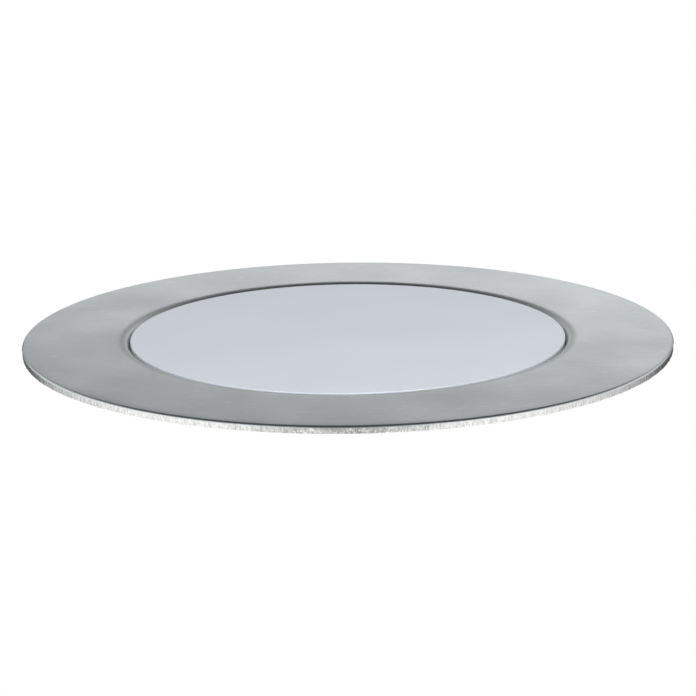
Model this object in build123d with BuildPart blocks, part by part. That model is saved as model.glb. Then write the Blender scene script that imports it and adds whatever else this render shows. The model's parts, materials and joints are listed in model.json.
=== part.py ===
from build123d import *
from math import asin, atan2, ceil, cos, degrees, hypot, pi, radians, sin, sqrt, tan
import os

# Recessed ground spotlight, modelled as installed. The axis is +Z, and z = 0 is the surface that it is let
# into, where the rim of the trim ring lies. The two gripping clips stand out along +X and -X.
# Lengths are in mm.

# Trim ring: one pressed sheet, a shallow cone with a rolled lip and a collar
ring_d = 65.0
sheet_t = 0.8
ring_rise = 0.4
aperture_d = 43.5
bend_in_r = 0.25
collar_depth = 3.45
rim_roll_r = 0.25

# Fits and clearances
bond_gap = 0.05
lens_gap = 0.1
slip_gap = 0.2
thread_gap = 0.02
pin_gap = 0.05
stop_gap = 0.3
hole_gap = 0.1

# Diffuser and its gasket
lens_sink = 0.05
lens_t = 2.85
lens_edge_r = 0.2
lens_flange_t = 1.8
lens_skirt_w = 2.2
gasket_t = 0.8
shoulder_w = 2.2

# Light engine
mixing_h = 4.5
reflector_top_w = 0.8
reflector_foot_w = 1.8
led_board_t = 1.6
led_l = 3.5
led_w = 2.8
led_h = 0.8
led_margin = 0.8
led_row_pitch = 6.0
led_outer_count = 8
led_inner_count = 4
pad_t = 0.5
sink_t = 2.6
sink_boss_drop = 2.5
fin_slot_w = 1.6
fin_slot_depth = 3.0
fin_pitch = 4.0
fin_slot_count = 5
board_screw_d = 2.5
board_screw_head_d = 4.4
board_screw_head_h = 1.5
board_screw_count = 3
board_screw_floor = 0.6

# Barrel
head_wall = 2.4
floor_t = 2.9
floor_edge_r = 0.8
body_d = 36.0
body_wall = 2.4

# Driver
part_headroom = 1.4
driver_t = 1.6
driver_gap = 0.4
post_d = 4.4
post_inset = 2.0
driver_screw_d = 2.0
driver_screw_head_d = 3.6
driver_screw_head_h = 1.3
driver_screw_l = 5.0
choke_w = 6.0
choke_h = 4.0
choke_edge_r = 1.0
choke_at = (-6.5, 3.0)
capacitor_d = 6.3
capacitor_h = 5.5
capacitor_edge_r = 0.5
capacitor_at = (6.5, 3.0)
chip_l = 4.0
chip_w = 3.0
chip_h = 1.4
chip_places = ((-5.5, -5.5), (6.5, -5.0))
terminal_l = 11.0
terminal_w = 7.5
terminal_h = 6.5
terminal_pitch = 5.0
terminal_hole_d = 2.6
terminal_hole_l = 5.2
terminal_screw_d = 2.4
terminal_screw_l = 1.8
terminal_screw_sink = 0.4
lead_d = 1.4
lead_top_spread = 5.0
lead_top_y = -7.6
lead_foot_spread = 7.0
lead_foot_y = -9.6
lead_stub = 2.0
lead_shift_h = 3.0
lead_bend_r = 2.4

# End cap
bay_clear = 6.0
cap_t = 3.0
cap_groove = 0.4
cap_edge_r = 0.3
plug_h = 3.5
plug_wall = 3.0
seal_wire_d = 1.3
seal_squeeze = 0.1
cap_screw_d = 3.0
cap_screw_l = 10.0
cap_screw_head_d = 5.4
cap_screw_head_h = 2.0
cap_screw_edge_r = 0.5
cap_screw_count = 4
boss_d = 6.0
boss_merge = 0.6
boss_h = 10.0
boss_edge_r = 0.8

# Cross recesses and slots of the screws
recess_w = 0.7
recess_depth = 0.7
recess_share = 0.6

# Cable gland
cable_d = 6.5
cable_gap = 0.35
gland_seal_wall = 1.7
gland_sleeve_wall = 1.0
gland_hex_wall = 1.5
gland_hex_h = 4.5
gland_hex_turned = 0.2
gland_washer_t = 1.0
lock_nut_t = 3.0
thread_over = 0.5
gland_seal_sunk = 1.0
gland_seal_out = 1.2
gland_sleeve_l = 7.0
gland_slot_w = 1.0
gland_slot_l = 5.0
gland_slot_count = 6
gland_nut_lip = 3.0
gland_nut_mouth_wall = 1.3
gland_nut_dome_h = 3.5
gland_nut_bulge = 0.7

# Gripping clips
clip_sheet_t = 0.8
clip_w = 10.0
clip_reach = 24.0
clip_tip_r = 2.5
clip_tip_turn = 60.0
clip_tip_corner_r = 2.0
clip_cheek_l = 9.0
clip_cheek_wall = 1.0
clip_side_gap = 0.2
pin_d = 2.0
pin_head_d = 3.6
pin_head_h = 0.8
pin_head_edge_r = 0.25
pin_tail = 0.4
ear_t = 2.2
ear_wall = 1.4
spring_wire_d = 0.7
spring_pin_gap = 0.25
spring_side_gap = 0.9
spring_full_turns = 4
spring_leg_gap = 0.1
spring_fixed_leg = 6.0
spring_arm_leg = 8.0
spring_web_gap = 0.15

# Radii of the ring, the barrel and the light engine
ring_r = ring_d / 2
collar_in_r = aperture_d / 2
collar_out_r = collar_in_r + sheet_t
lip_r = bend_in_r + sheet_t
mouth_r = collar_out_r + bond_gap
lens_r = collar_in_r - lens_gap
lens_flange_r = mouth_r - slip_gap
chamber_r = mouth_r - shoulder_w
engine_r = chamber_r - slip_gap
head_r = mouth_r + head_wall
body_r = body_d / 2
bay_r = body_r - body_wall
body_mid_r = bay_r + body_wall / 2
plug_r = bay_r - hole_gap
boss_r = body_r + boss_d / 2 - boss_merge
board_screw_r = engine_r - reflector_foot_w - slip_gap - board_screw_head_d / 2
led_outer_r = board_screw_r - board_screw_head_d / 2 - led_margin - led_l / 2
led_inner_r = led_outer_r - led_row_pitch

# The heat sink's boss passes through the barrel's floor, inside the driver's posts and the board's screws
post_r = bay_r - post_inset
floor_hole_r = min(post_r - post_d / 2, board_screw_r - board_screw_head_d / 2)
sink_boss_r = floor_hole_r - slip_gap

# Radii of the gland, from the cable outwards
cable_r = cable_d / 2
gland_bore_r = cable_r + cable_gap
gland_seal_r = cable_r + gland_seal_wall
gland_seat_r = gland_seal_r + bond_gap
gland_thread_r = gland_seat_r + gland_sleeve_wall
gland_hex_r = gland_thread_r + gland_hex_wall
gland_hex_end_r = gland_hex_r - gland_hex_turned
gland_hole_r = gland_thread_r + hole_gap
nut_thread_r = gland_thread_r + bond_gap

# Levels along the axis, from the top down
crest_z = sheet_t + ring_rise
collar_end_z = crest_z - collar_depth
lens_top_z = crest_z - lens_sink
lens_under_z = lens_top_z - lens_t
flange_end_z = collar_end_z - lens_flange_t
shoulder_z = flange_end_z - gasket_t
board_top_z = shoulder_z - mixing_h
board_end_z = board_top_z - led_board_t
pad_end_z = board_end_z - pad_t
ledge_z = pad_end_z - sink_t
head_end_z = ledge_z - floor_t
board_screw_tip_z = head_end_z + board_screw_floor
sink_end_z = head_end_z - sink_boss_drop
driver_top_z = sink_end_z - part_headroom - max(capacitor_h, choke_h)
driver_end_z = driver_top_z - driver_t
terminal_end_z = driver_end_z - terminal_h
body_end_z = terminal_end_z - bay_clear
cap_end_z = body_end_z - cap_t
gland_seat_z = cap_end_z - gland_washer_t
gland_hex_end_z = gland_seat_z - gland_hex_h
gland_thread_end_z = body_end_z + lock_nut_t + thread_over
gland_seal_top_z = gland_hex_end_z + gland_seal_sunk
gland_sleeve_end_z = gland_hex_end_z - gland_sleeve_l
gland_seal_end_z = gland_sleeve_end_z - gland_seal_out
nut_top_z = gland_hex_end_z - slip_gap
nut_cavity_z = gland_seal_end_z - slip_gap
nut_neck_z = nut_cavity_z - (nut_thread_r - gland_bore_r) / 2
nut_end_z = nut_neck_z - gland_nut_lip

# Slope of the cone: its top face runs from the rim's edge to the tangent point on the lip
lip_centre = (collar_in_r + lip_r, crest_z - lip_r)
lip_run = ring_r - lip_centre[0]
lip_drop = lip_centre[1] - sheet_t
cone_slope = asin(lip_r / hypot(lip_run, lip_drop)) + atan2(lip_drop, lip_run)
lip_turn = 90 + degrees(cone_slope)

# Clips: the arm's web lies just under the head and above the coil, whose fixed leg lies by the wall
coil_r = pin_d / 2 + spring_pin_gap + spring_wire_d / 2
web_under = coil_r + spring_wire_d / 2 + spring_web_gap
web_top = web_under + clip_sheet_t
pivot_x = body_r + spring_leg_gap + spring_wire_d / 2 + coil_r
pivot_z = head_end_z - stop_gap - web_top
cheek_r = pin_d / 2 + clip_cheek_wall
ear_r = pin_d / 2 + ear_wall
ear_in_y = clip_w / 2 + clip_side_gap
ear_out_y = ear_in_y + ear_t
spring_turns = spring_full_turns + 0.25
spring_pitch = (clip_w - 2 * clip_sheet_t - 2 * spring_side_gap - spring_wire_d) / spring_turns

seated = (Align.CENTER, Align.CENTER, Align.MIN)
sides = {"right": 1, "left": -1}
cap_screw_start = 180 / cap_screw_count
post_places = [(0, post_r), (0, -post_r)]
lead_tops = [(side * lead_top_spread / 2, lead_top_y) for side in (-1, 1)]
lead_feet = [(side * lead_foot_spread / 2, lead_foot_y) for side in (-1, 1)]
terminal_poles = [(side * terminal_pitch / 2, 0) for side in (-1, 1)]


def cone_point(distance):
    """Point at this distance from the lip's centre, square to the cone, as (radius, height)."""
    return (
        lip_centre[0] + distance * sin(cone_slope),
        lip_centre[1] + distance * cos(cone_slope),
    )


def cone_height(distance, radius):
    """Height at a radius of the line parallel to the cone at this distance from the lip's centre."""
    start_r, start_z = cone_point(distance)
    return start_z - (radius - start_r) * tan(cone_slope)


def hinge_plane(side):
    """Plane at a clip's pivot: x points outward, y points up and z runs along the pin."""
    return Plane(origin=(side * pivot_x, 0, pivot_z), x_dir=(side, 0, 0), z_dir=(0, -side, 0))


def engine_layer(level, radius, screw_hole_r, lead_hole_r):
    """Sketch of a round layer of the light engine at this level, with its screw and lead holes."""
    with BuildSketch(Plane.XY.offset(level)) as layer:
        Circle(radius)
        with PolarLocations(board_screw_r, board_screw_count):
            Circle(screw_hole_r, mode=Mode.SUBTRACT)
        with Locations(*lead_tops):
            Circle(lead_hole_r, mode=Mode.SUBTRACT)
    return layer.sketch


def cap_layer(level, inset):
    """Sketch of the end cap's outline at this level, drawn in by the inset, with all its holes."""
    with BuildSketch(Plane.XY.offset(level)) as layer:
        Circle(body_r - inset)
        with PolarLocations(boss_r, cap_screw_count, start_angle=cap_screw_start):
            Circle(boss_d / 2 - inset)
            Circle(cap_screw_d / 2 + hole_gap, mode=Mode.SUBTRACT)
        Circle(gland_hole_r, mode=Mode.SUBTRACT)
    return layer.sketch


def turned_hexagon(low_z, high_z):
    """Hexagonal prism between two levels, with its corners turned off at both ends."""
    corner_r = gland_hex_r / cos(radians(30))
    turned_h = (corner_r - gland_hex_end_r) * tan(radians(30))
    with BuildPart() as prism:
        with BuildSketch(Plane.XY.offset(low_z)):
            RegularPolygon(gland_hex_r, 6, major_radius=False)
        extrude(amount=high_z - low_z)
        with BuildSketch(Plane.XZ):
            with BuildLine():
                Polyline(
                    (0, low_z),
                    (gland_hex_end_r, low_z),
                    (corner_r, low_z + turned_h),
                    (corner_r, high_z - turned_h),
                    (gland_hex_end_r, high_z),
                    (0, high_z),
                    close=True,
                )
            make_face()
        revolve(axis=Axis.Z, mode=Mode.INTERSECT)
    return prism.part


def cross_recess(level, head_d):
    """Sketch of the cross recess in a screw head of this diameter."""
    with BuildSketch(Plane.XY.offset(level)) as recess:
        Rectangle(head_d * recess_share, recess_w)
        Rectangle(recess_w, head_d * recess_share)
    return recess.sketch


def write_part(builder, name):
    """Label a finished piece and write its file."""
    builder.part.label = name
    export_step(builder.part, f"parts/{name}.step")


os.makedirs("parts", exist_ok=True)

# Trim ring
with BuildPart() as trim_ring:
    with BuildSketch(Plane.XZ) as ring_section:
        with BuildLine():
            cone_top = Line((ring_r, sheet_t), cone_point(lip_r))
            lip = JernArc(cone_top @ 1, (-cos(cone_slope), sin(cone_slope)), lip_r, lip_turn)
            collar_in = Line(lip @ 1, (collar_in_r, collar_end_z))
            collar_foot = Line(collar_in @ 1, (collar_out_r, collar_end_z))
            collar_out = Line(collar_foot @ 1, (collar_out_r, lip_centre[1]))
            lip_in = JernArc(collar_out @ 1, (0, 1), bend_in_r, -lip_turn)
            cone_under = Line(lip_in @ 1, (ring_r, 0))
            Line(cone_under @ 1, cone_top @ 0)
        make_face()
        rim_edge = ring_section.vertices().group_by(Axis.X)[-1].sort_by(Axis.Y)[-1]
        fillet(rim_edge, min(rim_roll_r, sheet_t / 2))
    revolve(axis=Axis.Z)
write_part(trim_ring, "trim_ring")

# Diffuser: a flat cover with a skirt and a flange under the collar
lens_hollow_r = lens_flange_r - lens_skirt_w
with BuildPart() as diffuser:
    with BuildSketch(Plane.XZ) as lens_section:
        with BuildLine():
            Polyline(
                (0, lens_top_z),
                (lens_r, lens_top_z),
                (lens_r, collar_end_z),
                (lens_flange_r, collar_end_z),
                (lens_flange_r, flange_end_z),
                (lens_hollow_r, flange_end_z),
                (lens_hollow_r, lens_under_z),
                (0, lens_under_z),
                close=True,
            )
        make_face()
        lens_edge = lens_section.vertices().group_by(Axis.Y)[-1].sort_by(Axis.X)[-1]
        fillet(lens_edge, lens_edge_r)
    revolve(axis=Axis.Z)
write_part(diffuser, "diffuser")

with BuildPart() as diffuser_gasket:
    with BuildSketch(Plane.XY.offset(shoulder_z)):
        Circle(lens_flange_r)
        Circle(chamber_r, mode=Mode.SUBTRACT)
    extrude(amount=gasket_t)
write_part(diffuser_gasket, "diffuser_gasket")

# Light engine: reflector, board, light sources, pad, heat sink and screws
reflector_top_z = shoulder_z - bond_gap
with BuildPart() as reflector:
    with BuildSketch(Plane.XZ):
        with BuildLine():
            Polyline(
                (engine_r, board_top_z),
                (engine_r, reflector_top_z),
                (engine_r - reflector_top_w, reflector_top_z),
                (engine_r - reflector_foot_w, board_top_z),
                close=True,
            )
        make_face()
    revolve(axis=Axis.Z)
write_part(reflector, "reflector")

screw_clear_r = board_screw_d / 2 + hole_gap
lead_fit_r = lead_d / 2 + bond_gap
lead_clear_r = lead_d / 2 + slip_gap + hole_gap

with BuildPart() as led_board:
    extrude(engine_layer(board_end_z, engine_r, screw_clear_r, lead_fit_r), amount=led_board_t)
write_part(led_board, "led_board")

with BuildPart() as led_chips:
    with Locations((0, 0, board_top_z)):
        with PolarLocations(led_outer_r, led_outer_count):
            Box(led_l, led_w, led_h, align=seated)
        with PolarLocations(led_inner_r, led_inner_count):
            Box(led_l, led_w, led_h, align=seated)
write_part(led_chips, "led_chips")

with BuildPart() as thermal_pad:
    extrude(engine_layer(pad_end_z, engine_r - slip_gap, screw_clear_r, lead_clear_r), amount=pad_t)
write_part(thermal_pad, "thermal_pad")

with BuildPart() as heat_sink:
    extrude(engine_layer(ledge_z, engine_r, screw_clear_r, lead_clear_r), amount=sink_t)
    with BuildSketch(Plane.XY.offset(ledge_z)):
        Circle(sink_boss_r)
        with Locations(*lead_tops):
            Circle(lead_clear_r, mode=Mode.SUBTRACT)
    extrude(amount=sink_end_z - ledge_z)
    with BuildSketch(Plane.XY.offset(sink_end_z)):
        with GridLocations(0, fin_pitch, 1, fin_slot_count):
            Rectangle(2 * sink_boss_r, fin_slot_w)
    extrude(amount=fin_slot_depth, mode=Mode.SUBTRACT)
write_part(heat_sink, "heat_sink")

with BuildPart() as board_screw:
    with BuildSketch(Plane.XY.offset(board_screw_tip_z)):
        Circle(board_screw_d / 2)
    extrude(amount=board_top_z - board_screw_tip_z)
    with BuildSketch(Plane.XY.offset(board_top_z)):
        Circle(board_screw_head_d / 2)
    extrude(amount=board_screw_head_h)
    recess = cross_recess(board_top_z + board_screw_head_h, board_screw_head_d)
    extrude(recess, amount=-recess_depth, mode=Mode.SUBTRACT)
with BuildPart() as board_screws:
    with PolarLocations(board_screw_r, board_screw_count):
        add(board_screw.part)
write_part(board_screws, "board_screws")

# Barrel: wide head with the mouth, shoulder and ledge, then the narrower driver bay
rim_offset = bend_in_r - bond_gap
with BuildPart() as barrel:
    with BuildSketch(Plane.XZ):
        with BuildLine():
            mouth = Line((mouth_r, shoulder_z), (mouth_r, lip_centre[1]))
            mouth_lip = JernArc(mouth @ 1, (0, 1), rim_offset, -lip_turn)
            rim_top = Line(mouth_lip @ 1, (head_r, cone_height(rim_offset, head_r)))
            Polyline(
                rim_top @ 1,
                (head_r, head_end_z),
                (body_r, head_end_z),
                (body_r, body_end_z),
                (bay_r, body_end_z),
                (bay_r, head_end_z),
                (floor_hole_r, head_end_z),
                (floor_hole_r, ledge_z),
                (chamber_r, ledge_z),
                (chamber_r, shoulder_z),
                mouth @ 0,
            )
        make_face()
    revolve(axis=Axis.Z)
    head_circles = barrel.edges().filter_by(GeomType.CIRCLE)
    head_foot = head_circles.filter_by(lambda edge: abs(edge.radius - head_r) < bond_gap).sort_by(Axis.Z)[0]
    fillet(head_foot, floor_edge_r)

    # Ears that hold the pins, rounded at their ends, joined to the bay's wall and to the head above
    ear_root = pivot_x - sqrt(body_mid_r**2 - ear_out_y**2)
    for side in sides.values():
        for face_y in (ear_in_y, -ear_out_y):
            with BuildSketch(hinge_plane(side).offset(face_y)):
                Circle(ear_r)
                with Locations((-ear_root, -ear_r)):
                    Rectangle(ear_root, 2 * ear_r, align=Align.MIN)
                with Locations((-ear_root, 0)):
                    Rectangle(ear_root + ear_r, head_end_z - pivot_z, align=Align.MIN)
            extrude(amount=ear_t)
        with BuildSketch(hinge_plane(side).offset(-ear_out_y)):
            Circle(pin_d / 2)
        extrude(amount=2 * ear_out_y, mode=Mode.SUBTRACT)

    # Posts for the driver board and bosses for the cap's screws
    with BuildSketch(Plane.XY.offset(driver_top_z)):
        with Locations(*post_places):
            Circle(post_d / 2)
    extrude(amount=head_end_z - driver_top_z)
    with BuildSketch(Plane.XY.offset(body_end_z)):
        with PolarLocations(boss_r, cap_screw_count, start_angle=cap_screw_start):
            Circle(boss_d / 2)
        Circle(body_mid_r, mode=Mode.SUBTRACT)
    extrude(amount=boss_h)
    boss_top_z = body_end_z + boss_h
    boss_circles = barrel.edges().filter_by(GeomType.CIRCLE)
    boss_tops = boss_circles.filter_by(lambda edge: abs(edge.center().Z - boss_top_z) < bond_gap)
    fillet(boss_tops, boss_edge_r)

    # Pilot holes for the three kinds of screw
    with BuildSketch(Plane.XY.offset(board_screw_tip_z)):
        with PolarLocations(board_screw_r, board_screw_count):
            Circle(board_screw_d / 2 + thread_gap)
    extrude(amount=ledge_z - board_screw_tip_z, mode=Mode.SUBTRACT)
    with BuildSketch(Plane.XY.offset(driver_top_z)):
        with Locations(*post_places):
            Circle(driver_screw_d / 2 + thread_gap)
    extrude(amount=driver_screw_l, mode=Mode.SUBTRACT)
    with BuildSketch(Plane.XY.offset(body_end_z)):
        with PolarLocations(boss_r, cap_screw_count, start_angle=cap_screw_start):
            Circle(cap_screw_d / 2 + thread_gap)
    extrude(amount=cap_screw_l - cap_t, mode=Mode.SUBTRACT)
write_part(barrel, "barrel")

# Driver board and what is on it
with BuildPart() as driver_board:
    with BuildSketch(Plane.XY.offset(driver_end_z)):
        Circle(bay_r - driver_gap)
        with Locations(*post_places):
            Circle(driver_screw_d / 2 + hole_gap, mode=Mode.SUBTRACT)
    extrude(amount=driver_t)
write_part(driver_board, "driver_board")

with BuildPart() as driver_screw:
    with BuildSketch(Plane.XY.offset(driver_end_z)):
        Circle(driver_screw_d / 2)
    extrude(amount=driver_t + driver_screw_l - slip_gap)
    with BuildSketch(Plane.XY.offset(driver_end_z)):
        Circle(driver_screw_head_d / 2)
    extrude(amount=-driver_screw_head_h)
    recess = cross_recess(driver_end_z - driver_screw_head_h, driver_screw_head_d)
    extrude(recess, amount=recess_depth, mode=Mode.SUBTRACT)
with BuildPart() as driver_screws:
    with Locations(*post_places):
        add(driver_screw.part)
write_part(driver_screws, "driver_screws")

with BuildPart() as choke:
    with Locations((*choke_at, driver_top_z)):
        Box(choke_w, choke_w, choke_h, align=seated)
    fillet(choke.edges().filter_by(Axis.Z), choke_edge_r)
write_part(choke, "choke")

with BuildPart() as smoothing_capacitor:
    with Locations((*capacitor_at, driver_top_z)):
        Cylinder(capacitor_d / 2, capacitor_h, align=seated)
    fillet(smoothing_capacitor.edges().group_by(Axis.Z)[-1], capacitor_edge_r)
write_part(smoothing_capacitor, "smoothing_capacitor")

with BuildPart() as driver_chips:
    with Locations(*[(x, y, driver_top_z) for x, y in chip_places]):
        Box(chip_l, chip_w, chip_h, align=seated)
write_part(driver_chips, "driver_chips")

# Terminal block under the board: wires enter from one side, screws from below
wire_level = driver_end_z - (terminal_h - terminal_screw_sink - terminal_screw_l) / 2
with BuildPart() as terminal_block:
    with Locations((0, 0, terminal_end_z)):
        Box(terminal_l, terminal_w, terminal_h, align=seated)
    with BuildSketch(Plane.XY.offset(terminal_end_z)):
        with Locations(*terminal_poles):
            Circle(terminal_screw_d / 2 + thread_gap)
    extrude(amount=terminal_screw_sink + terminal_screw_l, mode=Mode.SUBTRACT)
    with BuildSketch(Plane.XZ.offset(terminal_w / 2)):
        with Locations(*[(x, wire_level) for x, _ in terminal_poles]):
            Circle(terminal_hole_d / 2)
    extrude(amount=-terminal_hole_l, mode=Mode.SUBTRACT)
write_part(terminal_block, "terminal_block")

terminal_screw_z = terminal_end_z + terminal_screw_sink
with BuildPart() as terminal_screw:
    with BuildSketch(Plane.XY.offset(terminal_screw_z)):
        Circle(terminal_screw_d / 2)
    extrude(amount=terminal_screw_l)
    with BuildSketch(Plane.XY.offset(terminal_screw_z)):
        Rectangle(terminal_screw_d, recess_w)
    extrude(amount=recess_depth, mode=Mode.SUBTRACT)
with BuildPart() as terminal_screws:
    with Locations(*terminal_poles):
        add(terminal_screw.part)
write_part(terminal_screws, "terminal_screws")

# Leads from the driver board up to the LED board
for name, foot, top in zip(("lead_black", "lead_red"), lead_feet, lead_tops):
    lead_points = [
        (*foot, driver_top_z),
        (*foot, driver_top_z + lead_stub),
        (*top, driver_top_z + lead_stub + lead_shift_h),
        (*top, board_top_z + lead_d / 2),
    ]
    with BuildPart() as lead:
        with BuildLine() as lead_path:
            FilletPolyline(*lead_points, radius=lead_bend_r)
        with BuildSketch(Plane.XY.offset(driver_top_z)):
            with Locations(foot):
                Circle(lead_d / 2)
        sweep(path=lead_path.wires()[0])
    write_part(lead, name)

# End cap with its spigot, seal and screws
seal_r = bay_r - seal_wire_d / 2
seal_groove_r = seal_r - seal_wire_d / 2
seal_groove_h = seal_wire_d + 2 * slip_gap
seal_z = body_end_z + plug_h / 2
with BuildPart() as end_cap:
    extrude(cap_layer(cap_end_z, 0), amount=cap_t - cap_groove)
    fillet(end_cap.faces().sort_by(Axis.Z)[0].outer_wire().edges(), cap_edge_r)
    extrude(cap_layer(body_end_z - cap_groove, cap_groove), amount=cap_groove)
    with BuildSketch(Plane.XY.offset(body_end_z)):
        Circle(plug_r)
        Circle(plug_r - plug_wall, mode=Mode.SUBTRACT)
    extrude(amount=plug_h)
    with BuildSketch(Plane.XY.offset(seal_z - seal_groove_h / 2)):
        Circle(bay_r)
        Circle(seal_groove_r, mode=Mode.SUBTRACT)
    extrude(amount=seal_groove_h, mode=Mode.SUBTRACT)
write_part(end_cap, "end_cap")

with BuildPart() as end_cap_seal:
    with BuildSketch(Plane.XZ):
        with Locations((seal_r, seal_z)):
            Circle(seal_wire_d / 2 - seal_squeeze)
    revolve(axis=Axis.Z)
write_part(end_cap_seal, "end_cap_seal")

with BuildPart() as end_cap_screw:
    with BuildSketch(Plane.XY.offset(cap_end_z)):
        Circle(cap_screw_d / 2)
    extrude(amount=cap_screw_l - slip_gap)
    with BuildSketch(Plane.XY.offset(cap_end_z)):
        Circle(cap_screw_head_d / 2)
    extrude(amount=-cap_screw_head_h)
    fillet(end_cap_screw.edges().group_by(Axis.Z)[0], cap_screw_edge_r)
    recess = cross_recess(cap_end_z - cap_screw_head_h, cap_screw_head_d)
    extrude(recess, amount=recess_depth, mode=Mode.SUBTRACT)
with BuildPart() as end_cap_screws:
    with PolarLocations(boss_r, cap_screw_count, start_angle=cap_screw_start):
        add(end_cap_screw.part)
write_part(end_cap_screws, "end_cap_screws")

# Cable gland: washer, body with clamping fingers, rubber seal, dome nut and lock nut
with BuildPart() as gland_washer:
    with BuildSketch(Plane.XY.offset(gland_seat_z)):
        Circle(gland_hex_r)
        Circle(gland_hole_r, mode=Mode.SUBTRACT)
    extrude(amount=gland_washer_t)
write_part(gland_washer, "gland_washer")

with BuildPart() as gland_body:
    add(turned_hexagon(gland_hex_end_z, gland_seat_z))
    with BuildSketch(Plane.XY.offset(gland_sleeve_end_z)):
        Circle(gland_thread_r)
    extrude(amount=gland_thread_end_z - gland_sleeve_end_z)
    with BuildSketch(Plane.XY.offset(gland_sleeve_end_z)):
        Circle(gland_bore_r)
    extrude(amount=gland_thread_end_z - gland_sleeve_end_z, mode=Mode.SUBTRACT)
    with BuildSketch(Plane.XY.offset(gland_sleeve_end_z)):
        Circle(gland_seat_r)
    extrude(amount=gland_seal_top_z - gland_sleeve_end_z, mode=Mode.SUBTRACT)
    with BuildSketch(Plane.XY.offset(gland_sleeve_end_z)):
        with PolarLocations(gland_seal_r, gland_slot_count):
            Rectangle(gland_thread_r, gland_slot_w, align=(Align.MIN, Align.CENTER))
    extrude(amount=gland_slot_l, mode=Mode.SUBTRACT)
write_part(gland_body, "gland_body")

with BuildPart() as gland_seal:
    with BuildSketch(Plane.XY.offset(gland_seal_end_z)):
        Circle(gland_seal_r)
        Circle(cable_r, mode=Mode.SUBTRACT)
    extrude(amount=gland_seal_top_z - gland_seal_end_z)
write_part(gland_seal, "gland_seal")

# The dome nut's cavity clears the seal, then narrows to the cable's mouth
nut_dome_z = nut_end_z + gland_nut_dome_h
with BuildPart() as gland_nut:
    add(turned_hexagon(nut_dome_z, nut_top_z))
    with BuildSketch(Plane.XZ):
        with BuildLine():
            dome_base = Line((0, nut_dome_z), (gland_hex_end_r, nut_dome_z))
            dome_end = (gland_bore_r + gland_nut_mouth_wall, nut_end_z)
            SagittaArc(dome_base @ 1, dome_end, gland_nut_bulge)
            Polyline(dome_end, (0, nut_end_z), dome_base @ 0)
        make_face()
    revolve(axis=Axis.Z)
    with BuildSketch(Plane.XZ):
        with BuildLine():
            Polyline(
                (0, nut_top_z),
                (nut_thread_r, nut_top_z),
                (nut_thread_r, nut_cavity_z),
                (gland_bore_r, nut_neck_z),
                (gland_bore_r, nut_end_z),
                (0, nut_end_z),
                close=True,
            )
        make_face()
    revolve(axis=Axis.Z, mode=Mode.SUBTRACT)
write_part(gland_nut, "gland_nut")

with BuildPart() as gland_lock_nut:
    with BuildSketch(Plane.XY.offset(body_end_z)):
        RegularPolygon(gland_hex_r, 6, major_radius=False)
        Circle(nut_thread_r, mode=Mode.SUBTRACT)
    extrude(amount=lock_nut_t)
write_part(gland_lock_nut, "gland_lock_nut")


# Torsion spring: a leg up from the barrel's wall, the coil round the pin and a leg out under the arm's web
def coil_point(hinge, turns):
    """Centre of the wire after this many turns round the hinge, and its direction there."""
    angle = radians(180 - 360 * turns)
    out = hinge.x_dir * cos(angle) + hinge.y_dir * sin(angle)
    round_way = hinge.x_dir * sin(angle) - hinge.y_dir * cos(angle)
    along = hinge.z_dir * (spring_pitch * (turns - spring_turns / 2))
    at_leg = turns in (0, spring_turns)
    climb = 0 if at_leg else spring_pitch / (2 * pi)
    way = round_way * coil_r + hinge.z_dir * climb
    return hinge.origin + out * coil_r + along, way.normalized()


def biarc_joint(start, start_way, end, end_way):
    """Point where two arcs meet that join these ends tangent to the given ways, and the way there."""
    span = end - start
    ways = start_way + end_way
    bend = 2 * (1 - start_way.dot(end_way))
    along = span.dot(ways)
    reach = (sqrt(along**2 + bend * span.dot(span)) - along) / bend
    first = start + start_way * reach
    second = end - end_way * reach
    return (first + second) * 0.5, (second - first).normalized()


def least_wire_gap(path, wire_d, turn_l):
    """Least distance between the wire and itself, measured on points half a turn or more apart."""
    step = wire_d / 4
    count = ceil(path.length / step)
    points = [path @ (i / count) for i in range(count + 1)]
    apart = ceil(turn_l / 2 / step)
    pairs = [(a, b) for a in range(count + 1) for b in range(a + apart, count + 1)]
    return min((points[a] - points[b]).length for a, b in pairs) - wire_d


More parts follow.
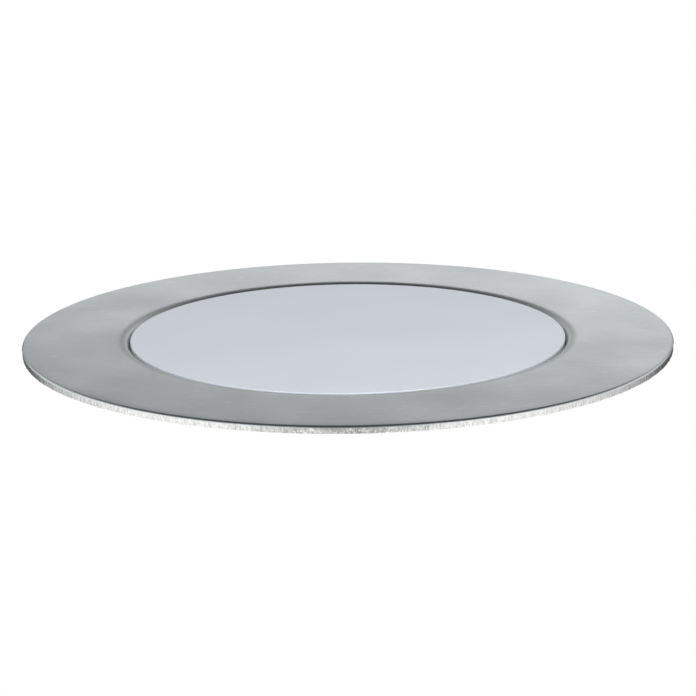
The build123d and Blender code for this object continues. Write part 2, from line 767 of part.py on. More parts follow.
# Clip arm, pin and spring on each side
heel = sqrt((web_top + stop_gap) ** 2 - web_top**2) / 2
tip_start = clip_reach - (clip_tip_r + clip_sheet_t) * sin(radians(clip_tip_turn))
quarter_turns = [i / 4 for i in range(4 * spring_full_turns + 2)]
for name, side in sides.items():
    hinge = hinge_plane(side)
    with BuildPart() as clip_arm:
        with BuildSketch(hinge):
            with BuildLine():
                web_line = Line((-heel, web_top), (tip_start, web_top))
                tip_out = JernArc(web_line @ 1, (1, 0), clip_tip_r + clip_sheet_t, -clip_tip_turn)
                tip_in = JernArc((tip_start, web_under), (1, 0), clip_tip_r, -clip_tip_turn)
                Line(tip_out @ 1, tip_in @ 1)
                Polyline(tip_in @ 0, (-heel, web_under), web_line @ 0)
            make_face()
        extrude(amount=clip_w / 2, both=True)
        for face_y in (clip_w / 2 - clip_sheet_t, -clip_w / 2):
            with BuildSketch(hinge.offset(face_y)):
                with BuildLine():
                    Polyline(
                        (-heel, web_top),
                        (clip_cheek_l, web_top),
                        (clip_cheek_l, web_under),
                        (cheek_r, -cheek_r / 2),
                        (-cheek_r, 0),
                        close=True,
                    )
                make_face()
                Circle(cheek_r)
                Circle(pin_d / 2 + pin_gap, mode=Mode.SUBTRACT)
            extrude(amount=clip_sheet_t)
        tip_face = clip_arm.faces().sort_by(Axis(hinge.origin, hinge.x_dir))[-1]
        tip_corners = tip_face.edges().filter_by(lambda edge: abs(edge.length - clip_sheet_t) < bond_gap)
        fillet(tip_corners, clip_tip_corner_r)
    write_part(clip_arm, f"clip_arm_{name}")

    with BuildPart() as clip_pin:
        with BuildSketch(hinge.offset(-ear_out_y)):
            Circle(pin_d / 2)
        extrude(amount=2 * ear_out_y + pin_tail)
        with BuildSketch(hinge.offset(-ear_out_y)):
            Circle(pin_head_d / 2)
        extrude(amount=-pin_head_h)
        pin_circles = clip_pin.edges().filter_by(GeomType.CIRCLE)
        head_circles = pin_circles.filter_by(lambda edge: abs(edge.radius - pin_head_d / 2) < bond_gap)
        fillet(head_circles.sort_by_distance(hinge.origin)[-1], pin_head_edge_r)
    write_part(clip_pin, f"clip_pin_{name}")

    coil_start, coil_start_way = coil_point(hinge, 0)
    coil_end, coil_end_way = coil_point(hinge, spring_turns)
    with BuildPart() as clip_spring:
        with BuildLine() as spring_path:
            Line(coil_start - coil_start_way * spring_fixed_leg, coil_start)
            for start_turn, end_turn in zip(quarter_turns[:-1], quarter_turns[1:]):
                start, start_way = coil_point(hinge, start_turn)
                end, end_way = coil_point(hinge, end_turn)
                joint, joint_way = biarc_joint(start, start_way, end, end_way)
                TangentArc(start, joint, tangent=start_way)
                TangentArc(joint, end, tangent=joint_way)
            Line(coil_end, coil_end + coil_end_way * spring_arm_leg)
        spring_wire = spring_path.wires()[0]
        with BuildSketch(Plane(spring_wire @ 0, z_dir=spring_wire % 0)):
            Circle(spring_wire_d / 2)
        sweep(path=spring_wire)
    write_part(clip_spring, f"clip_spring_{name}")
    wire_gap = least_wire_gap(spring_wire, spring_wire_d, 2 * pi * coil_r)
    print(f"clip_spring_{name}: least gap between turns {wire_gap:.3f} mm")
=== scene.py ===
import json
from math import asin, atan2, cos, degrees, hypot, pi, radians, sin, tan

import bpy
import numpy as np
from mathutils import Matrix, Vector


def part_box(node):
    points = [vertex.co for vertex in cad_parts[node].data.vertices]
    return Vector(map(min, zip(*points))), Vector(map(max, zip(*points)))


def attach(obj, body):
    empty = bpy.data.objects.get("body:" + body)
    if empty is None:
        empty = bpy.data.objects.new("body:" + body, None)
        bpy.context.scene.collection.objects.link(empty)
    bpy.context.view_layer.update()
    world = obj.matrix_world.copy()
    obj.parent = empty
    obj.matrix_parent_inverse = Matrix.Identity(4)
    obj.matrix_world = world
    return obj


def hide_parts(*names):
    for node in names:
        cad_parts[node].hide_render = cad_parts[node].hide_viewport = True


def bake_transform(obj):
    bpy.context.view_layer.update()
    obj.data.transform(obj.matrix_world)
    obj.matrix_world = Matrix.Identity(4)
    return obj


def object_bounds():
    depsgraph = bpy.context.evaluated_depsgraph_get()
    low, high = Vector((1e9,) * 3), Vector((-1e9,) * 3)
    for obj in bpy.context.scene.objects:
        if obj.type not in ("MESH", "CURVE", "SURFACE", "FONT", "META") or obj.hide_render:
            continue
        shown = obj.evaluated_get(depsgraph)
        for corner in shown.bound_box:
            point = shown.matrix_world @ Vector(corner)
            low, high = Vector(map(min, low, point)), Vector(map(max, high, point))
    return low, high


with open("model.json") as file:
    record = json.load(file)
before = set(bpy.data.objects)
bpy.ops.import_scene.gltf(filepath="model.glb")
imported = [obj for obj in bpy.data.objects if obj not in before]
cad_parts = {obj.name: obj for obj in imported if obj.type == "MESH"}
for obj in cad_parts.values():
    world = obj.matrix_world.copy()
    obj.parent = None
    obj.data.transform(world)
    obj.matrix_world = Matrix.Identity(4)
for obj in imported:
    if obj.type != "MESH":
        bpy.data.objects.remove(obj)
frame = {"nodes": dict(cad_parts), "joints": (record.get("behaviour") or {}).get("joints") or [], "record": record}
cad_low, cad_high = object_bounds()

# Looks of a recessed ground spotlight. The axis is +Z, and z = 0 is the surface that the trim ring rests on.
# Shapes are worked out in millimetres and become metres when their mesh is made.
MM = 0.001


def box_mm(node):
    """Lowest and highest corner of a node of the frame, in millimetres."""
    low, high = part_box(node)
    return np.array(low) / MM, np.array(high) / MM


# Trim ring, from the frame and the sheet that it is pressed from
ring_low, ring_high = box_mm("trim_ring")
ring_r = ring_high[0]
crest_z = ring_high[2]
collar_end_z = ring_low[2]
sheet_t = 0.8
bend_in_r = 0.05
aperture_r = 21.75
rim_roll_r = 0.25
lip_r = bend_in_r + sheet_t
lip_centre = np.array([aperture_r + lip_r, crest_z - lip_r])
lip_run = ring_r - lip_centre[0]
lip_drop = lip_centre[1] - sheet_t
cone_slope = asin(lip_r / hypot(lip_run, lip_drop)) + atan2(lip_drop, lip_run)
cone_out = np.array([sin(cone_slope), cos(cone_slope)])

# Diffuser: its flat top eases down near the edge, which is rounded
lens_low, lens_high = box_mm("diffuser")
lens_top_z = lens_high[2]
lens_flange_r = lens_high[0]
lens_foot_z = lens_low[2]
lens_gap = 0.05
lens_r = aperture_r - lens_gap
lens_t = 2.85
lens_skirt_w = 2.2
lens_edge_r = 0.12
lens_crown_w = 2.5
lens_crown_drop = 0.01

# Clips: torsion springs round the pins
spring_wire_r = 0.35
spring_coil_r = 1.6
spring_turns = 4.25
spring_half_l = 2.95
spring_fixed_leg = 6.0
spring_arm_leg = 8.0

# Camera, from the photograph: the ring's centre in the 696 pixel frame, the angle and the distance
image_px = 696
centre_px = (347.75, 340.15)
focal_px = 6514.0
camera_elevation = 14.596
camera_roll = -0.715
camera_ring_widths = 10
camera_distance = camera_ring_widths * 2 * ring_r
sensor_mm = 36.0

# Floor just under the lowest piece
floor_gap = 0.02
floor_z = cad_low[2] / MM - floor_gap


# Meshes

def line(start, end, count):
    """Evenly spaced points from start towards end, without end itself."""
    share = np.arange(count)[:, None] / count
    return np.array(start) + share * (np.array(end) - np.array(start))


def arc(centre, radius, start, end, count):
    """Evenly spaced points on a circle from one angle towards another, in degrees, without the last."""
    angle = np.radians(start + (end - start) * np.arange(count) / count)
    return np.array(centre) + radius * np.stack([np.cos(angle), np.sin(angle)], axis=1)


def grid_quads(rows, columns, close_rows):
    """Corner numbers of the quads of a grid whose columns close on themselves, and whose rows may too."""
    row = np.arange(rows if close_rows else rows - 1)[:, None]
    column = np.arange(columns)[None, :]
    here = row * columns
    after = (row + 1) % rows * columns
    beside = (column + 1) % columns
    corners = np.broadcast_arrays(here + column, here + beside, after + beside, after + column)
    return np.stack(corners, axis=-1).reshape(-1, 4)


def end_faces(count, columns):
    """Corner numbers of the two faces that close the first and the last row of a grid."""
    first = list(range(columns))[::-1]
    last = list(range(count - columns, count))
    return first, last


def carry_round(radius, height, angle):
    """Points on circles round the axis: a row for each radius and height, a column for each angle."""
    rows = np.broadcast_arrays(radius * np.cos(angle), radius * np.sin(angle), height)
    return np.stack(rows, axis=-1).reshape(-1, 3)


def add_piece(name, points, faces, finishes, sharp_angle=40):
    """Object at the origin with this mesh, given in millimetres, smooth apart from its sharp edges."""
    mesh = bpy.data.meshes.new(name)
    mesh.from_pydata((points * MM).tolist(), [], faces)
    mesh.shade_smooth()
    mesh.set_sharp_from_angle(angle=radians(sharp_angle))
    for finish in finishes:
        mesh.materials.append(finish)
    piece = bpy.data.objects.new(name, mesh)
    bpy.context.scene.collection.objects.link(piece)
    return piece


def round_noise(angle, cell, seed):
    """Random height round the ring, -1 to 1: values one cell apart along the rim, joined by smooth steps."""
    count = round(2 * pi * ring_r / cell)
    values = np.random.default_rng(seed).uniform(-1, 1, count)
    place = angle / (2 * pi) * count
    whole = np.floor(place).astype(int)
    share = place - whole
    share = share * share * (3 - 2 * share)
    return values[whole % count] * (1 - share) + values[(whole + 1) % count] * share


# Materials

def linear(code):
    """Linear colour, with alpha, of an sRGB hex code."""
    srgb = np.array([int(code[i:i + 2], 16) for i in (1, 3, 5)]) / 255
    low = srgb / 12.92
    high = ((srgb + 0.055) / 1.055) ** 2.4
    return (*np.where(srgb <= 0.04045, low, high).tolist(), 1.0)


def add_node(tree, kind, inputs=None, **settings):
    """Add a node with its settings. Each input is a value, or the output that is linked to it."""
    made = tree.nodes.new("ShaderNode" + kind)
    for name, value in settings.items():
        setattr(made, name, value)
    for name, value in (inputs or {}).items():
        if isinstance(value, bpy.types.NodeSocket):
            tree.links.new(value, made.inputs[name])
        else:
            made.inputs[name].default_value = value
    return made


def new_material(name):
    """Empty material and its node tree."""
    material = bpy.data.materials.new(name)
    material.use_nodes = True
    material.node_tree.nodes.clear()
    return material, material.node_tree


def close_material(tree, shader):
    """Link a shader to the material's output."""
    add_node(tree, "OutputMaterial", {"Surface": shader.outputs[0]})


def satin_brushed_stainless():
    """Stainless sheet, belt brushed along X before pressing: soft grey, faint short lines, duller on the lip.

    Noise stretched along X gives the lines, the peaks of a shorter noise the marks, and clouds the gloss.
    """
    line_width = 0.35
    line_length = 7.0
    scratch_width = 0.4
    scratch_length = 1.2
    cloud = 9.0
    bend_from_r = lip_centre[0] + 0.5
    bend_full_r = lip_centre[0] - 0.3
    material, tree = new_material("satin_brushed_stainless")
    place = add_node(tree, "TexCoord").outputs["Object"]
    along = {
        "Vector": place,
        "Scale": (1 / (line_length * MM), 1 / (line_width * MM), 1 / (line_length * MM)),
    }
    lines = add_node(tree, "TexNoise", {
        "Vector": add_node(tree, "Mapping", along).outputs[0], "Scale": 1.0, "Detail": 3.0, "Roughness": 0.6,
    }).outputs["Fac"]
    across = {
        "Vector": place,
        "Scale": (1 / (scratch_length * MM), 1 / (scratch_width * MM), 1 / (scratch_length * MM)),
        "Rotation": (0, 0, radians(3)),
    }
    scratches = add_node(tree, "TexNoise", {
        "Vector": add_node(tree, "Mapping", across).outputs[0], "Scale": 1.0, "Detail": 1.0,
    }).outputs["Fac"]
    scratch_mask = add_node(tree, "MapRange", {
        "Value": scratches, "From Min": 0.62, "From Max": 0.74, "To Min": 0.0, "To Max": 1.0,
    }).outputs[0]
    clouds = add_node(tree, "TexNoise", {
        "Vector": place, "Scale": 1 / (cloud * MM), "Detail": 2.0,
    }).outputs["Fac"]
    tone = add_node(tree, "Mix", {
        0: add_node(tree, "MapRange", {"Value": lines, "From Min": 0.3, "From Max": 0.7}).outputs[0],
        6: linear("#ced4d6"), 7: linear("#d4d9db"),
    }, data_type="RGBA").outputs[2]
    tone = add_node(tree, "Mix", {
        0: scratch_mask, 6: tone, 7: linear("#e0e2e3"),
    }, data_type="RGBA").outputs[2]
    rough = add_node(tree, "MapRange", {
        "Value": clouds, "From Min": 0.3, "From Max": 0.7, "To Min": 0.33, "To Max": 0.39,
    }).outputs[0]
    flat = add_node(tree, "VectorMath", {0: place, 1: (1, 1, 0)}, operation="MULTIPLY").outputs[0]
    bend = add_node(tree, "MapRange", {
        "Value": add_node(tree, "VectorMath", {0: flat}, operation="LENGTH").outputs["Value"],
        "From Min": bend_from_r * MM, "From Max": bend_full_r * MM, "To Min": 0.0, "To Max": 0.12,
    }, interpolation_type="SMOOTHSTEP").outputs[0]
    rough = add_node(tree, "Math", {0: rough, 1: bend}, operation="ADD").outputs[0]
    relief = add_node(tree, "Bump", {"Height": lines, "Strength": 0.10, "Distance": 0.02 * MM}).outputs[0]
    steel = add_node(tree, "BsdfPrincipled", {
        "Base Color": tone, "Metallic": 1.0, "Roughness": rough, "Normal": relief,
    })
    close_material(tree, steel)
    return material


def sheared_stainless_edge():
    """Cut edge of the sheet: bright, torn by the punch into fine upright streaks, noise stretched along Z."""
    streak_width = 0.2
    streak_length = 0.45
    material, tree = new_material("sheared_stainless_edge")
    place = add_node(tree, "TexCoord").outputs["Object"]
    upright = {
        "Vector": place,
        "Scale": (1 / (streak_width * MM), 1 / (streak_width * MM), 1 / (streak_length * MM)),
    }
    streaks = add_node(tree, "TexNoise", {
        "Vector": add_node(tree, "Mapping", upright).outputs[0], "Scale": 1.0, "Detail": 3.0,
    }).outputs["Fac"]
    tone = add_node(tree, "Mix", {
        0: add_node(tree, "MapRange", {"Value": streaks, "From Min": 0.3, "From Max": 0.7}).outputs[0],
        6: linear("#b4b5b4"), 7: linear("#dadad8"),
    }, data_type="RGBA").outputs[2]
    relief = add_node(tree, "Bump", {"Height": streaks, "Strength": 0.5, "Distance": 0.08 * MM}).outputs[0]
    steel = add_node(tree, "BsdfPrincipled", {
        "Base Color": tone, "Metallic": 1.0, "Roughness": 0.25, "Normal": relief,
    })
    close_material(tree, steel)
    return material


def frosted_polycarbonate():
    """Moulded cover with a fine frosted face: pale and slightly blue, with a soft sheen.

    The tone drifts in wide clouds of noise, and a fine noise is the frosting's grain.
    """
    grain = 0.25
    cloud = 12.0
    material, tree = new_material("frosted_polycarbonate")
    place = add_node(tree, "TexCoord").outputs["Object"]
    grains = add_node(tree, "TexNoise", {
        "Vector": place, "Scale": 1 / (grain * MM), "Detail": 2.0,
    }).outputs["Fac"]
    clouds = add_node(tree, "TexNoise", {
        "Vector": place, "Scale": 1 / (cloud * MM), "Detail": 1.0,
    }).outputs["Fac"]
    tone = add_node(tree, "Mix", {
        0: add_node(tree, "MapRange", {"Value": clouds, "From Min": 0.3, "From Max": 0.7}).outputs[0],
        6: linear("#cbd2d9"), 7: linear("#cfd6dd"),
    }, data_type="RGBA").outputs[2]
    relief = add_node(tree, "Bump", {"Height": grains, "Strength": 0.15, "Distance": 0.01 * MM}).outputs[0]
    plastic = add_node(tree, "BsdfPrincipled", {
        "Base Color": tone, "Roughness": 0.4, "IOR": 1.58, "Normal": relief,
    })
    close_material(tree, plastic)
    return material


def moulded_finish(name, dark, light, grain, depth, rough, ior):
    """Moulding: tone and roughness drift in clouds of noise, and the grain has this width and depth in mm."""
    cloud = 7.0
    material, tree = new_material(name)
    place = add_node(tree, "TexCoord").outputs["Object"]
    clouds = add_node(tree, "TexNoise", {
        "Vector": place, "Scale": 1 / (cloud * MM), "Detail": 3.0,
    }).outputs["Fac"]
    grains = add_node(tree, "TexNoise", {
        "Vector": place, "Scale": 1 / (grain * MM), "Detail": 1.5,
    }).outputs["Fac"]
    share = add_node(tree, "MapRange", {"Value": clouds, "From Min": 0.3, "From Max": 0.7}).outputs[0]
    tone = add_node(tree, "Mix", {0: share, 6: linear(dark), 7: linear(light)}, data_type="RGBA").outputs[2]
    gloss = add_node(tree, "MapRange", {"Value": share, "To Min": rough[0], "To Max": rough[1]}).outputs[0]
    relief = add_node(tree, "Bump", {"Height": grains, "Strength": 1.0, "Distance": depth * MM}).outputs[0]
    plastic = add_node(tree, "BsdfPrincipled", {
        "Base Color": tone, "Roughness": gloss, "IOR": ior, "Normal": relief,
    })
    close_material(tree, plastic)
    return material


def worked_metal(name, dark, light, mark, depth, rough):
    """Bare metal with tool marks in tone and relief: noise whose cell is this long along X, Y and Z in mm."""
    cloud = 5.0
    material, tree = new_material(name)
    place = add_node(tree, "TexCoord").outputs["Object"]
    cells = add_node(tree, "Mapping", {"Vector": place, "Scale": tuple(1 / (length * MM) for length in mark)})
    marks = add_node(tree, "TexNoise", {
        "Vector": cells.outputs[0], "Scale": 1.0, "Detail": 2.0,
    }).outputs["Fac"]
    clouds = add_node(tree, "TexNoise", {
        "Vector": place, "Scale": 1 / (cloud * MM), "Detail": 2.0,
    }).outputs["Fac"]
    share = add_node(tree, "MapRange", {"Value": marks, "From Min": 0.3, "From Max": 0.7}).outputs[0]
    tone = add_node(tree, "Mix", {0: share, 6: linear(dark), 7: linear(light)}, data_type="RGBA").outputs[2]
    gloss = add_node(tree, "MapRange", {
        "Value": clouds, "From Min": 0.3, "From Max": 0.7, "To Min": rough[0], "To Max": rough[1],
    }).outputs[0]
    relief = add_node(tree, "Bump", {"Height": marks, "Strength": 1.0, "Distance": depth * MM}).outputs[0]
    metal = add_node(tree, "BsdfPrincipled", {
        "Base Color": tone, "Metallic": 1.0, "Roughness": gloss, "Normal": relief,
    })
    close_material(tree, metal)
    return material


def drawn_stainless_wire():
    """Spring wire: bright grey with fine lines along its length, left by the drawing die."""
    mark_width = 0.12
    mark_length = 3.0
    material, tree = new_material("drawn_stainless_wire")
    place = add_node(tree, "Attribute", attribute_name="along_wire").outputs["Vector"]
    cells = add_node(tree, "Mapping", {
        "Vector": place, "Scale": (1 / mark_length, 1 / mark_width, 1 / mark_width),
    })
    marks = add_node(tree, "TexNoise", {
        "Vector": cells.outputs[0], "Scale": 1.0, "Detail": 2.0,
    }).outputs["Fac"]
    share = add_node(tree, "MapRange", {"Value": marks, "From Min": 0.3, "From Max": 0.7}).outputs[0]
    tone = add_node(tree, "Mix", {
        0: share, 6: linear("#a2a4a6"), 7: linear("#bcbdbf"),
    }, data_type="RGBA").outputs[2]
    gloss = add_node(tree, "MapRange", {"Value": share, "To Min": 0.24, "To Max": 0.34}).outputs[0]
    steel = add_node(tree, "BsdfPrincipled", {"Base Color": tone, "Metallic": 1.0, "Roughness": gloss})
    close_material(tree, steel)
    return material


def green_glass_epoxy():
    """Circuit laminate: green lacquer over woven glass, whose threads cross along X and Y."""
    thread = 0.55
    wave_repeat = 0.314
    material, tree = new_material("green_glass_epoxy")
    place = add_node(tree, "TexCoord").outputs["Object"]
    wave = {"Vector": place, "Scale": wave_repeat / (thread * MM), "Distortion": 0.4}
    warp = add_node(tree, "TexWave", wave, bands_direction="X").outputs["Fac"]
    weft = add_node(tree, "TexWave", wave, bands_direction="Y").outputs["Fac"]
    weave = add_node(tree, "Math", {0: warp, 1: weft}, operation="MULTIPLY").outputs[0]
    tone = add_node(tree, "Mix", {
        0: weave, 6: linear("#1d5532"), 7: linear("#2a6a40"),
    }, data_type="RGBA").outputs[2]
    relief = add_node(tree, "Bump", {"Height": weave, "Strength": 1.0, "Distance": 0.01 * MM}).outputs[0]
    lacquer = add_node(tree, "BsdfPrincipled", {
        "Base Color": tone, "Roughness": 0.32, "IOR": 1.55, "Normal": relief,
    })
    close_material(tree, lacquer)
    return material


def two_tone_finish(name, face, wall, grain, rough, wall_metallic):
    """Flat part with one finish on its upper face and another on its walls, told apart by the normal's Z."""
    face_from = 0.7
    material, tree = new_material(name)
    place = add_node(tree, "TexCoord")
    upright = add_node(tree, "SeparateXYZ", {0: place.outputs["Normal"]}).outputs["Z"]
    flat = add_node(tree, "Math", {0: upright, 1: face_from}, operation="GREATER_THAN").outputs[0]
    grains = add_node(tree, "TexNoise", {
        "Vector": place.outputs["Object"], "Scale": 1 / (grain * MM), "Detail": 2.0,
    }).outputs["Fac"]
    tone = add_node(tree, "Mix", {
        0: grains, 6: linear(face[0]), 7: linear(face[1]),
    }, data_type="RGBA").outputs[2]
    tone = add_node(tree, "Mix", {0: flat, 6: linear(wall), 7: tone}, data_type="RGBA").outputs[2]
    bare = add_node(tree, "MapRange", {"Value": flat, "To Min": wall_metallic, "To Max": 0.0}).outputs[0]
    gloss = add_node(tree, "MapRange", {"Value": grains, "To Min": rough[0], "To Max": rough[1]}).outputs[0]
    shader = add_node(tree, "BsdfPrincipled", {"Base Color": tone, "Metallic": bare, "Roughness": gloss})
    close_material(tree, shader)
    return material


# Pieces

def cut_edge_relief(angle, height):
    """How far the cut edge stands in, in millimetres.

    It draws in towards its foot, in a straight line. Upright streaks, a coarse and a fine noise round the
    ring, deepen downwards, and so do tears, a wide noise that leans.
    """
    torn_share = 0.6
    draw_in = 0.02
    streak_depth = 0.010
    torn_streak_depth = 0.018
    tear_depth = 0.012
    tear_lean = 0.11
    torn = np.clip(1 - height / (torn_share * sheet_t), 0, 1)
    streaks = 0.6 * round_noise(angle, cell=0.55, seed=3) + 0.4 * round_noise(angle, cell=0.3, seed=4)
    tears = round_noise(angle + height * tear_lean / ring_r, cell=1.3, seed=5)
    streaked = (streak_depth + torn_streak_depth * torn) * (1 + streaks)
    return draw_in * torn + streaked + tear_depth * torn * (1 + tears)


def build_trim_ring():
    """Closed section of the sheet carried round the axis, with the cut edge's relief on its outer rows."""
    columns = 1600
    edge_rows = 11
    roll_centre = np.array([
        ring_r - rim_roll_r,
        sheet_t + rim_roll_r * tan(cone_slope) - rim_roll_r / cos(cone_slope),
    ])
    cone_angle = 90 - degrees(cone_slope)
    section = np.concatenate([
        line((ring_r, 0), (ring_r, roll_centre[1]), edge_rows),
        arc(roll_centre, rim_roll_r, 0, cone_angle, 8),
        line(roll_centre + rim_roll_r * cone_out, lip_centre + lip_r * cone_out, 9),
        arc(lip_centre, lip_r, cone_angle, 180, 13),
        line((aperture_r, lip_centre[1]), (aperture_r, collar_end_z), 4),
        line((aperture_r, collar_end_z), (aperture_r + sheet_t, collar_end_z), 2),
        line((aperture_r + sheet_t, collar_end_z), (aperture_r + sheet_t, lip_centre[1]), 4),
        arc(lip_centre, bend_in_r, 180, cone_angle, 6),
        line(lip_centre + bend_in_r * cone_out, (ring_r, 0), 4),
    ])
    angle = 2 * pi * np.arange(columns) / columns
    radius = np.repeat(section[:, :1], columns, axis=1)
    height = section[:, 1:]
    radius[:edge_rows] -= cut_edge_relief(angle, height[:edge_rows])
    points = carry_round(radius, height, angle)
    quads = grid_quads(len(section), columns, close_rows=True)
    finish = [satin_brushed_stainless(), sheared_stainless_edge()]
    ring = add_piece("trim_ring_pressed", points, quads.tolist(), finish)
    edge = np.zeros(len(quads), np.int32)
    edge[:edge_rows * columns] = 1
    ring.data.polygons.foreach_set("material_index", edge)
    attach(ring, "housing")
    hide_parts("trim_ring")


def build_diffuser():
    """Section of the cover carried round the axis: near its edge the flat top falls off by the square."""
    columns = 512
    middle_r = 0.5
    hollow_r = lens_flange_r - lens_skirt_w
    under_z = lens_top_z - lens_t
    crown_r = lens_r - lens_edge_r - lens_crown_w
    crown = line((crown_r, lens_top_z), (lens_r - lens_edge_r, lens_top_z), 16)
    crown[:, 1] -= lens_crown_drop * ((crown[:, 0] - crown_r) / lens_crown_w) ** 2
    crown_slope = degrees(atan2(2 * lens_crown_drop, lens_crown_w))
    edge_centre = np.array([lens_r - lens_edge_r, lens_top_z - lens_crown_drop - lens_edge_r])
    section = np.concatenate([
        line((middle_r, under_z), (hollow_r, under_z), 12),
        line((hollow_r, under_z), (hollow_r, lens_foot_z), 4),
        line((hollow_r, lens_foot_z), (lens_flange_r, lens_foot_z), 3),
        line((lens_flange_r, lens_foot_z), (lens_flange_r, collar_end_z), 3),
        line((lens_flange_r, collar_end_z), (lens_r, collar_end_z), 2),
        line((lens_r, collar_end_z), (lens_r, edge_centre[1]), 4),
        arc(edge_centre, lens_edge_r, 0, 90 - crown_slope, 10),
        crown[::-1],
        line((crown_r, lens_top_z), (middle_r, lens_top_z), 16),
        [(middle_r, lens_top_z)],
    ])
    angle = 2 * pi * np.arange(columns) / columns
    points = carry_round(section[:, :1], section[:, 1:], angle)
    quads = grid_quads(len(section), columns, close_rows=False)
    faces = [*quads.tolist(), *end_faces(len(points), columns)]
    lens = add_piece("diffuser_frosted", points, faces, [frosted_polycarbonate()])
    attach(lens, "housing")
    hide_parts("diffuser")


def spring_path(side):
    """Centre line of a torsion spring and its outward normals.

    A straight leg leads up to the coil, and another leads out under the arm. The coil is a helix round the
    pin, whose climb is eased by a cubic over the first and the last quarter turn.
    """
    leg_steps = 12
    coil_steps = 204
    ease = 0.25
    turn = spring_turns * np.arange(coil_steps + 1) / coil_steps
    edge = np.minimum(turn, spring_turns - turn)
    eased = np.where(edge < ease, 2 * edge ** 2 / ease - edge ** 3 / ease ** 2, edge)
    climb = np.where(turn < spring_turns / 2, eased, spring_turns - eased) / spring_turns
    angle = pi - 2 * pi * turn
    outward = np.stack([np.cos(angle), np.sin(angle), np.zeros_like(angle)], axis=1)
    coil = spring_coil_r * outward
    coil[:, 2] = spring_half_l * (2 * climb - 1)
    fixed = line(coil[0] - (0, spring_fixed_leg, 0), coil[0], leg_steps)
    arm = line(coil[-1] + (spring_arm_leg, 0, 0), coil[-1], leg_steps)[::-1]
    centre = np.concatenate([fixed, coil, arm])
    normal = np.concatenate([
        np.repeat(outward[:1], leg_steps, axis=0), outward, np.repeat(outward[-1:], leg_steps, axis=0),
    ])
    to_frame = np.array([[side, 0, 0], [0, 0, 1], [0, -side, 0]])
    return centre @ to_frame, normal @ to_frame


def build_spring(name, side):
    """Circle of wire in the plane of normal and binormal, carried along the spring's path, ends chamfered."""
    columns = 20
    chamfer = 0.1
    pivot = np.array(next(j["pos_m"] for j in frame["joints"] if j["name"] == f"clip_{name}_pivot")) / MM
    centre, normal = spring_path(side)
    way = np.gradient(centre, axis=0)
    way -= np.sum(way * normal, axis=1, keepdims=True) * normal
    way /= np.linalg.norm(way, axis=1, keepdims=True)
    binormal = np.cross(way, normal)
    reach = np.concatenate([[0], np.cumsum(np.linalg.norm(np.diff(centre, axis=0), axis=1))])
    rows = np.concatenate([[0, 0], np.arange(1, len(centre) - 1), [-1, -1]])
    radius = np.full(len(rows), spring_wire_r)
    radius[[0, -1]] -= chamfer
    shift = np.zeros(len(rows))
    shift[1] = chamfer
    shift[-2] = -chamfer
    turn = 2 * pi * np.arange(columns) / columns
    rim = normal[rows][:, None] * np.cos(turn)[:, None] + binormal[rows][:, None] * np.sin(turn)[:, None]
    points = pivot + (centre[rows] + way[rows] * shift[:, None])[:, None] + rim * radius[:, None, None]
    points = points.reshape(-1, 3)
    quads = grid_quads(len(rows), columns, close_rows=False)
    faces = [*quads.tolist(), *end_faces(len(points), columns)]
    spring = add_piece(f"clip_spring_wire_{name}", points, faces, [drawn_stainless_wire()])
    along = np.stack(np.broadcast_arrays(
        (reach[rows] + shift)[:, None], radius[:, None] * np.cos(turn), radius[:, None] * np.sin(turn),
    ), axis=-1)
    place = spring.data.attributes.new("along_wire", "FLOAT_VECTOR", "POINT")
    place.data.foreach_set("vector", along.astype(np.float32).ravel())
    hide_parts(f"clip_spring_{name}")
    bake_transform(spring)


build_trim_ring()
build_diffuser()
build_spring("right", 1)
build_spring("left", -1)

